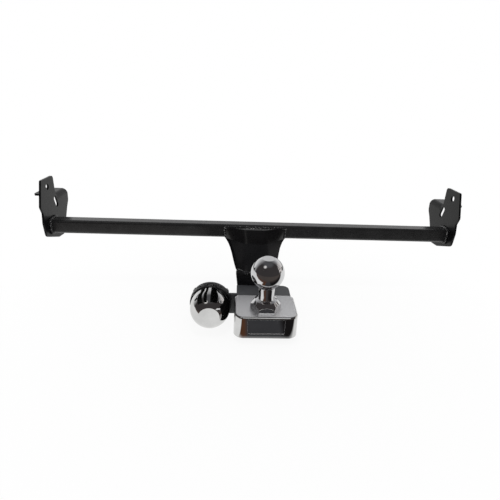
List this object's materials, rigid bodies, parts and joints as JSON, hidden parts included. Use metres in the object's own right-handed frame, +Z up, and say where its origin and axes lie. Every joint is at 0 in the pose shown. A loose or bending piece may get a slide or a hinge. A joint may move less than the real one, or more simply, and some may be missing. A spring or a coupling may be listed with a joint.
{
  "type": "trailer hitch",
  "caption": "Bolt-on car tow bar: square cross tube with end plates, sloping neck, chromed tow ball and cover, and a trailer socket with a sprung domed lid.",
  "frame": {"origin": "centre of the tow ball", "axes": "+X along the cross tube to the right plate, +Y towards the vehicle, +Z up along the ball's shank"},
  "size_m": [0.812, 0.273, 0.195],
  "materials": {
    "black_paint": "gloss black paint",
    "chromed_steel": "bright chrome on steel",
    "chromed_cover": "bright chrome",
    "zinc_steel": "zinc plate",
    "black_plastic": "satin moulded black",
    "seal_rubber": "matt black rubber",
    "contact_brass": "plain brass"
  },
  "bodies": {
    "tow_bar": {"cross_tube": "black_paint", "end_plate_left": "black_paint", "end_plate_right": "black_paint", "neck_channel": "black_paint", "neck_foot": "black_paint", "tongue_plate": "black_paint", "socket_bracket": "black_paint", "weld_left_plate": "black_paint", "weld_right_plate": "black_paint", "weld_neck_tube": "black_paint", "weld_neck_foot": "black_paint", "weld_foot_tongue": "black_paint", "weld_bracket": "black_paint", "tongue_cover": "chromed_cover", "tow_ball": "chromed_steel", "ball_lock_washer": "zinc_steel", "ball_nut": "zinc_steel", "socket_housing": "black_plastic", "contact_base": "black_plastic", "contact_core": "black_plastic", "cable_gland": "black_plastic", "gland_nut": "black_plastic", "socket_gasket": "seal_rubber", "gland_seal": "seal_rubber", "contact_sleeves": "contact_brass", "socket_screws": "zinc_steel", "socket_washers": "zinc_steel", "socket_nuts": "zinc_steel", "lid_hinge_pin": "zinc_steel", "lid_spring": "zinc_steel"},
    "lid": {"socket_lid": "black_plastic", "lid_dome": "chromed_cover", "lid_seal": "seal_rubber"}
  },
  "joints": [
    {"name": "lid_hinge", "type": "hinge", "parent": "tow_bar", "child": "lid", "pos_m": [-0.086, 0.0337, -0.044], "axis": [-1, 0, 0], "range_deg": [0, 100], "stiffness_Nm_per_rad": 0.03, "springref_deg": -57.3, "deforming": ["lid_spring"]}
  ]
}
